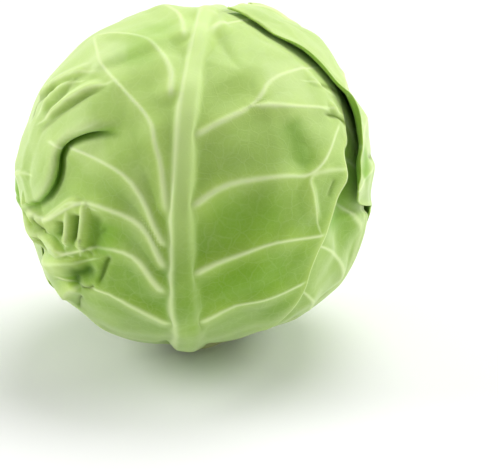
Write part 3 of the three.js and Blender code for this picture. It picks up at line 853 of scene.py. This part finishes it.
def blade_from_grid(name, outer, inner, masks, flat_map):
    """A grid laid out on the leaf's outer face, given its second face, and that one laid out."""
    deselect_all()
    rows, columns = outer.shape[0] - 1, outer.shape[1] - 1
    bpy.ops.mesh.primitive_grid_add(x_subdivisions=columns, y_subdivisions=rows, size=1)
    piece = bpy.context.object
    piece.name = name
    mesh = piece.data
    mesh.name = name
    set_points(mesh, outer)
    corner = np.empty(len(mesh.loops), np.int32)
    mesh.loops.foreach_get("vertex_index", corner)
    uv = flat_map.reshape(-1, 2)[corner]
    mesh.uv_layers.active.data.foreach_set("uv", uv.astype(np.float32).ravel())
    for mask, values in masks.items():
        add_mask(mesh, mask, values)
    wall = piece.modifiers.new("wall", "SOLIDIFY")
    wall.thickness = BLADE_EDGE
    wall.offset = -1
    wall.use_rim = True
    apply_modifiers(piece)
    set_points(mesh, np.concatenate([outer.reshape(-1, 3), inner.reshape(-1, 3)]))
    inside = np.zeros(len(mesh.vertices))
    inside[(rows + 1) * (columns + 1):] = 1
    add_mask(mesh, "inside", inside)
    mesh.shade_smooth()
    return piece


# Colours, as they look in soft light
def srgb(r, g, b):
    def linear(c):
        c = c / 255
        return c / 12.92 if c <= 0.04045 else ((c + 0.055) / 1.055) ** 2.4
    return (linear(r), linear(g), linear(b), 1.0)


PALE_BLADE = srgb(206, 230, 116)
BLADE = srgb(138, 184, 16)
DEEP_BLADE = srgb(94, 144, 0)
# Pale tint of painted light: rims seen edge-on and listed pale patches
PAINTED_LIGHT_TINT = srgb(218, 236, 174)
# Painted light from above, paling the crown
CROWN = srgb(202, 228, 136)
# Painted shade, multiplied into creases, pockets and the pleat's slit
PAINTED_CREASE_SHADE = (0.2, 0.27, 0.01, 1.0)
# Own colour of a leaf's inner face, also used for the painted green shade in pockets and gaps
INNER_FACE_AND_SHADE_GREEN = srgb(112, 172, 4)
INNER_BLADE = srgb(150, 190, 62)
DEEP_INNER_BLADE = srgb(120, 168, 34)
VEIN = srgb(230, 246, 184)
RIB = srgb(184, 218, 108)
HEART_BLADE = srgb(196, 216, 120)
STEM_FLESH = srgb(226, 226, 180)
STEM_RIND = srgb(186, 200, 120)

# How strongly each layer of a leaf's colour covers what is under it. Many layers paint light and shade:
# deep panels, pale tents, the paler crown and upper midrib, edge highlights, rim sheen and green pockets.
DEEP_PANEL = 0.36
PALE_TENT = 0.5
TENT_CONTRAST = 1.5
PALE_SPECKLE = 0.1
# Painted light from above: the crown pales between these heights
CROWN_PALE_FROM = 50 * MM
CROWN_PALE_TO = 160 * MM
PALE_CROWN = 0.6
PALE_NETS = (0.07, 0.04)
PALE_VEIN = 0.8
# Strength of the painted highlight along fold crests and the pleat's lip
PALE_CREST = 0.5
# The midrib pales higher up, painted light from above
RIB_LOW_DOWN = 0.12
RIB_HIGHER_UP = 1.5
PALE_RIB_CROWN = 0.7
# Strength of the painted highlight along the midrib's edges
RIB_EDGE_HIGHLIGHT = 0.7
# Strength of the painted highlight along margins
PALE_MARGIN = 0.35
# Painted rim light and sheen where a surface turns away from the view
PAINTED_RIM_SHEEN = 0.72
RIM_SHEEN_CONTRAST = 1.4
# Strength of the painted green shade in pockets, gaps and the pleat's wall
PAINTED_SHADE_GREEN = 0.75
GREEN_INSIDE = 0.75

# Clouds of deeper colour, the net of veins and the bumps of the surface
CLOUD_SCALE = 28
SPECKLE_SCALE = 160
CLOUD_CONTRAST = 2.4
CLOUD_OFFSET = -0.75
NETS = ((8 * MM, 0.06), (3 * MM, 0.1))
NET_WANDER = 6 * MM
NET_WANDER_SCALE = 90
NET_BUMPS = (0.1, 0.06)
SPECKLE_BUMP = 0.25
VEIN_BUMP = 0.9
FINE_BUMP = dict(strength=0.5, distance=0.6 * MM)
PUCKER_SCALE = 60
PUCKERED_EVERYWHERE = 0.15
PUCKER_BUMP = dict(strength=0.9, distance=5 * MM)
LEAST_ROUGHNESS = 0.34
ROUGHNESS_SPREAD = 0.16
WAXY_FINISH = {
    "Subsurface Weight": 0.25,
    "Subsurface Radius": (0.8, 1.0, 0.3),
    "Subsurface Scale": 1.3 * MM,
    "Sheen Weight": 0.03,
    "Sheen Roughness": 0.4,
    "Sheen Tint": (0.95, 1.0, 0.85, 1.0),
    "Specular IOR Level": 0.11,
}
FLESH_BUMP = dict(strength=0.4, distance=0.5 * MM)


# Shaders
def group_with(name, inputs, outputs):
    group = bpy.data.node_groups.new(name, "ShaderNodeTree")
    for socket, kind in inputs:
        group.interface.new_socket(socket, in_out="INPUT", socket_type=kind)
    for socket, kind in outputs:
        group.interface.new_socket(socket, in_out="OUTPUT", socket_type=kind)
    return group, group.nodes.new("NodeGroupInput"), group.nodes.new("NodeGroupOutput")


def node(tree, kind, **settings):
    made = tree.nodes.new(kind)
    for key, value in settings.items():
        setattr(made, key, value)
    return made


def calc(tree, operation, a, b=None, c=None, clamp=False):
    made = node(tree, "ShaderNodeMath", operation=operation, use_clamp=clamp)
    for socket, value in zip(made.inputs, (a, b, c)):
        if value is None:
            continue
        if isinstance(value, (int, float)):
            socket.default_value = value
        else:
            tree.links.new(value, socket)
    return made.outputs[0]


def blend_colours(tree, share, a, b, way="MIX"):
    made = node(tree, "ShaderNodeMix", data_type="RGBA", blend_type=way)
    for socket, value in ((made.inputs[0], share), (made.inputs[6], a), (made.inputs[7], b)):
        if isinstance(value, (int, float, tuple)):
            socket.default_value = value
        else:
            tree.links.new(value, socket)
    return made.outputs[2]


def glaze(tree, under, amount, strength, over):
    """A colour laid over another one, as far as a mask and its strength say."""
    return blend_colours(tree, calc(tree, "MULTIPLY", amount, strength), under, over)


def bumped(tree, height, strength, distance):
    bump = node(tree, "ShaderNodeBump")
    bump.inputs["Strength"].default_value = strength
    bump.inputs["Distance"].default_value = distance
    tree.links.new(height, bump.inputs["Height"])
    return bump


def noise(tree, coordinate, scale, detail, roughness=0.5):
    made = node(tree, "ShaderNodeTexNoise")
    made.inputs["Scale"].default_value = scale
    made.inputs["Detail"].default_value = detail
    made.inputs["Roughness"].default_value = roughness
    tree.links.new(coordinate, made.inputs["Vector"])
    return made


def make_vein_net():
    """Fine net of veins between the side veins, from a leaf's flat map."""
    group, given, result = group_with(
        "fine_vein_net",
        [("Map", "NodeSocketVector"), ("Cell", "NodeSocketFloat"), ("Line", "NodeSocketFloat")],
        [("Net", "NodeSocketFloat")],
    )
    wander = noise(group, given.outputs["Map"], NET_WANDER_SCALE, 2)
    centred = node(group, "ShaderNodeVectorMath", operation="SUBTRACT")
    centred.inputs[1].default_value = (0.5, 0.5, 0.5)
    group.links.new(wander.outputs["Color"], centred.inputs[0])
    shifted = node(group, "ShaderNodeVectorMath", operation="SCALE")
    group.links.new(centred.outputs[0], shifted.inputs[0])
    shifted.inputs["Scale"].default_value = NET_WANDER
    moved = node(group, "ShaderNodeVectorMath", operation="ADD")
    group.links.new(given.outputs["Map"], moved.inputs[0])
    group.links.new(shifted.outputs[0], moved.inputs[1])
    cells = node(group, "ShaderNodeTexVoronoi", feature="DISTANCE_TO_EDGE")
    group.links.new(moved.outputs[0], cells.inputs["Vector"])
    group.links.new(calc(group, "DIVIDE", 1.0, given.outputs["Cell"]), cells.inputs["Scale"])
    share = calc(group, "DIVIDE", cells.outputs["Distance"], given.outputs["Line"])
    net = calc(group, "SUBTRACT", 1.0, share, clamp=True)
    group.links.new(net, result.inputs["Net"])
    return group


def make_fine_line():
    """A line drawn from the distance beside it, pale in its middle."""
    group, given, result = group_with(
        "fine_line",
        [(name, "NodeSocketFloat") for name in ("Beside", "Half width", "Near")],
        [("Line", "NodeSocketFloat")],
    )
    away = calc(group, "DIVIDE", given.outputs["Beside"], given.outputs["Half width"])
    fading = calc(group, "MULTIPLY", calc(group, "MULTIPLY", away, away), -1)
    line = calc(group, "MULTIPLY", calc(group, "EXPONENT", fading), given.outputs["Near"])
    group.links.new(line, result.inputs["Line"])
    return group


VEIN_NET = make_vein_net()
FINE_LINE = make_fine_line()


def new_material(name):
    material = bpy.data.materials.new(name)
    material.use_nodes = True
    tree = material.node_tree
    shader = tree.nodes["Principled BSDF"]
    return material, tree, shader


def mask(tree, attribute):
    return node(tree, "ShaderNodeAttribute", attribute_name=attribute).outputs["Fac"]


def fine_line(tree, kind):
    line = node(tree, "ShaderNodeGroup", node_tree=FINE_LINE)
    tree.links.new(mask(tree, kind + "_beside"), line.inputs["Beside"])
    tree.links.new(mask(tree, kind + "_half_width"), line.inputs["Half width"])
    tree.links.new(mask(tree, kind + "_near"), line.inputs["Near"])
    return line.outputs["Line"]


def vein_nets(tree):
    """A wide and a narrow net of veins."""
    flat_map = node(tree, "ShaderNodeUVMap", uv_map="UVMap")
    nets = []
    for cell, line in NETS:
        net = node(tree, "ShaderNodeGroup", node_tree=VEIN_NET)
        net.inputs["Cell"].default_value = cell
        net.inputs["Line"].default_value = line
        tree.links.new(flat_map.outputs["UV"], net.inputs["Map"])
        nets.append(net.outputs["Net"])
    return nets


def crown_share(tree, place):
    """Painted light from above: 0 low down, growing towards the top of the head."""
    height = node(tree, "ShaderNodeSeparateXYZ")
    tree.links.new(place, height.inputs[0])
    crown = node(tree, "ShaderNodeMapRange", interpolation_type="SMOOTHSTEP")
    tree.links.new(height.outputs["Z"], crown.inputs["Value"])
    crown.inputs["From Min"].default_value = CROWN_PALE_FROM
    crown.inputs["From Max"].default_value = CROWN_PALE_TO
    crown.inputs["To Max"].default_value = PALE_CROWN
    return crown.outputs[0]


def leaf_colour(tree, place, speckle, nets, vein_line, colours):
    """Layer on layer of colour, from the blade between its veins to its creases, with painted light and
    shade among the layers.
    """
    blade, deep, pale = colours
    cloud = noise(tree, place, CLOUD_SCALE, 4, 0.6).outputs["Fac"]
    cloudy = calc(tree, "MULTIPLY_ADD", cloud, CLOUD_CONTRAST, CLOUD_OFFSET, clamp=True)
    colour = blend_colours(tree, cloudy, deep, blade)
    # Painted shade deepens the panels between veins; painted highlight pales the raised tents over them
    colour = glaze(tree, colour, mask(tree, "panel"), DEEP_PANEL, deep)
    raised = calc(tree, "POWER", mask(tree, "lifted"), TENT_CONTRAST)
    colour = glaze(tree, colour, raised, PALE_TENT, pale)
    colour = glaze(tree, colour, speckle, PALE_SPECKLE, pale)
    # Painted light from above: paler towards the top
    crown = crown_share(tree, place)
    colour = blend_colours(tree, crown, colour, CROWN)
    # Painted light: patches listed as pale take the pale tint
    colour = blend_colours(tree, mask(tree, "pale"), colour, PAINTED_LIGHT_TINT)
    for net, strength in zip(nets, PALE_NETS):
        colour = glaze(tree, colour, net, strength, VEIN)
    colour = glaze(tree, colour, vein_line, PALE_VEIN, VEIN)
    # Painted highlight along fold crests and the pleat's lip
    crest_line = calc(tree, "MAXIMUM", fine_line(tree, "crest"), mask(tree, "lip"))
    colour = glaze(tree, colour, crest_line, PALE_CREST, VEIN)
    # Painted light from above on the midrib, growing towards the top
    rib_share = calc(tree, "MULTIPLY_ADD", crown, RIB_HIGHER_UP, RIB_LOW_DOWN)
    colour = glaze(tree, colour, mask(tree, "rib"), rib_share, RIB)
    crown_on_rib = calc(tree, "MULTIPLY", crown, PALE_RIB_CROWN)
    colour = glaze(tree, colour, mask(tree, "rib"), crown_on_rib, VEIN)
    # Painted highlight along the midrib's edges
    colour = glaze(tree, colour, mask(tree, "rib_edge_highlight"), RIB_EDGE_HIGHLIGHT, VEIN)
    # Painted highlight along the margins
    colour = glaze(tree, colour, mask(tree, "margin"), PALE_MARGIN, pale)
    # Painted rim light and sheen: surfaces seen edge-on turn pale
    facing = node(tree, "ShaderNodeLayerWeight")
    facing.inputs["Blend"].default_value = 0.5
    rim = calc(tree, "POWER", facing.outputs["Facing"], RIM_SHEEN_CONTRAST, clamp=True)
    colour = glaze(tree, colour, rim, PAINTED_RIM_SHEEN, PAINTED_LIGHT_TINT)
    # Painted shade: pockets, gaps and the pleat's wall turn saturated green
    colour = glaze(tree, colour, mask(tree, "green"), PAINTED_SHADE_GREEN, INNER_FACE_AND_SHADE_GREEN)
    # The inner face keeps its own green, less of it where the margin's painted highlight lies
    from_margin = calc(tree, "MULTIPLY_ADD", mask(tree, "margin"), -PALE_MARGIN, GREEN_INSIDE)
    colour = glaze(tree, colour, mask(tree, "inside"), from_margin, INNER_FACE_AND_SHADE_GREEN)
    # Painted shade: creases, pockets and the pleat's slit are multiplied towards deep green
    return blend_colours(tree, mask(tree, "dark"), colour, PAINTED_CREASE_SHADE, "MULTIPLY")


def leaf_relief(tree, place, speckle, nets, vein_line):
    """Puckers where the leaf is crumpled, with nets, speckle and veins on top of them."""
    puckers = noise(tree, place, PUCKER_SCALE, 2)
    puckers.noise_type = "RIDGED_MULTIFRACTAL"
    share = calc(tree, "MULTIPLY_ADD", mask(tree, "crumpled"), 1 - PUCKERED_EVERYWHERE,
                 PUCKERED_EVERYWHERE)
    folded = bumped(tree, calc(tree, "MULTIPLY", puckers.outputs["Fac"], share), **PUCKER_BUMP)
    relief = calc(tree, "MULTIPLY", speckle, SPECKLE_BUMP)
    relief = calc(tree, "MULTIPLY_ADD", vein_line, VEIN_BUMP, relief)
    for net, strength in zip(nets, NET_BUMPS):
        relief = calc(tree, "MULTIPLY_ADD", net, strength, relief)
    bump = bumped(tree, relief, **FINE_BUMP)
    tree.links.new(folded.outputs["Normal"], bump.inputs["Normal"])
    return bump.outputs["Normal"]


def leaf_material(name, *colours):
    """Waxy leaf of three colours: the blade, deeper between its veins in painted shade, paler over them in
    painted highlight.
    """
    material, tree, shader = new_material(name)
    place = node(tree, "ShaderNodeTexCoord").outputs["Object"]
    speckle = noise(tree, place, SPECKLE_SCALE, 3, 0.6).outputs["Fac"]
    drawn = (place, speckle, vein_nets(tree), fine_line(tree, "vein"))
    tree.links.new(leaf_colour(tree, *drawn, colours), shader.inputs["Base Color"])
    rough = calc(tree, "MULTIPLY_ADD", speckle, ROUGHNESS_SPREAD, LEAST_ROUGHNESS)
    tree.links.new(rough, shader.inputs["Roughness"])
    tree.links.new(leaf_relief(tree, *drawn), shader.inputs["Normal"])
    for setting, value in WAXY_FINISH.items():
        shader.inputs[setting].default_value = value
    return material


def finish_piece(piece, material, node_name):
    piece.data.materials.clear()
    piece.data.materials.append(material)
    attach(piece, "root")
    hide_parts(node_name)


def build_leaves():
    outer_look = leaf_material("waxy_outer_leaf", BLADE, DEEP_BLADE, PALE_BLADE)
    inner_look = leaf_material("fresh_inner_leaf", INNER_BLADE, DEEP_INNER_BLADE, BLADE)
    for index, leaf in enumerate(LEAVES):
        outer, inner, masks, flat_map = leaf_grid(index)
        piece = blade_from_grid(leaf["piece"], outer, inner, masks, flat_map)
        is_inner = leaf.get("in_furrow", False)
        finish_piece(piece, inner_look if is_inner else outer_look, leaf["node"])


def flesh_material(name, colour, edge_colour):
    material, tree, shader = new_material(name)
    place = node(tree, "ShaderNodeTexCoord")
    cloud = noise(tree, place.outputs["Object"], 120, 4, 0.6).outputs["Fac"]
    tree.links.new(blend_colours(tree, cloud, colour, edge_colour), shader.inputs["Base Color"])
    shader.inputs["Roughness"].default_value = 0.6
    tree.links.new(bumped(tree, cloud, **FLESH_BUMP).outputs["Normal"], shader.inputs["Normal"])
    return material


def dress_inner_nodes():
    """The heart and the stem keep their solids, with their own finishes."""
    for name, material in (
        ("heart", flesh_material("packed_heart", HEART_BLADE, BLADE)),
        ("cut_stem", flesh_material("stem_flesh", STEM_FLESH, STEM_RIND)),
    ):
        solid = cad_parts[name]
        solid.data.materials.clear()
        solid.data.materials.append(material)


# Floor, light and camera
FLOOR_SIZE = 12
FLOOR_WHITE = (0.93, 0.93, 0.93, 1)
SOFTBOXES = [
    ("overhead_softbox", (0.3, 0.5, 1.3), 1.0, 11.6),
    ("left_softbox", (-1.2, 0.1, 0.7), 0.9, 13),
    ("right_softbox", (1.2, 0.1, 0.75), 0.9, 10),
    ("front_fill", (0.2, -1.6, 0.7), 1.2, 1),
]
WORLD_STRENGTH = 0.3
CAMERA_ELEVATION = 22
CAMERA_DISTANCE = 1.05
SENSOR = 36
FRAME_WIDTH = 500
FRAME_HEIGHT = 474
HEAD_PIXEL = (197, 184)
METRES_PER_PIXEL = 0.515 * MM


def build_floor():
    deselect_all()
    bpy.ops.mesh.primitive_plane_add(size=FLOOR_SIZE)
    floor = bpy.context.object
    floor.name = "floor"
    material, _, shader = new_material("pale_floor")
    shader.inputs["Base Color"].default_value = FLOOR_WHITE
    shader.inputs["Roughness"].default_value = 0.9
    floor.data.materials.append(material)


def add_softbox(name, place, size, power):
    data = bpy.data.lights.new(name, "AREA")
    data.shape = "DISK"
    data.size = size
    data.energy = power
    lamp = bpy.data.objects.new(name, data)
    bpy.context.collection.objects.link(lamp)
    lamp.location = place
    lamp.rotation_euler = (Vector(CENTRE) - Vector(place)).to_track_quat("-Z", "Y").to_euler()


def build_light():
    for softbox in SOFTBOXES:
        add_softbox(*softbox)
    world = bpy.data.worlds.new("studio")
    bpy.context.scene.world = world
    world.use_nodes = True
    background = world.node_tree.nodes["Background"]
    background.inputs["Color"].default_value = (1, 1, 1, 1)
    background.inputs["Strength"].default_value = WORLD_STRENGTH


def build_camera():
    tilt = math.radians(CAMERA_ELEVATION)
    back = Vector((0, -math.cos(tilt), math.sin(tilt)))
    right = Vector((1, 0, 0))
    up = right.cross(-back)
    aside = (FRAME_WIDTH / 2 - HEAD_PIXEL[0]) * METRES_PER_PIXEL
    below = (HEAD_PIXEL[1] - FRAME_HEIGHT / 2) * METRES_PER_PIXEL
    aim = Vector(CENTRE) + right * aside + up * below
    data = bpy.data.cameras.new("camera")
    data.sensor_width = SENSOR
    data.lens = SENSOR * CAMERA_DISTANCE / (FRAME_WIDTH * METRES_PER_PIXEL)
    camera = bpy.data.objects.new("camera", data)
    bpy.context.collection.objects.link(camera)
    camera.location = aim + back * CAMERA_DISTANCE
    camera.rotation_euler = (-back).to_track_quat("-Z", "Y").to_euler()
    bpy.context.scene.camera = camera


build_camera()
build_leaves()
dress_inner_nodes()
build_floor()
build_light()
bpy.context.scene.view_settings.view_transform = "Standard"
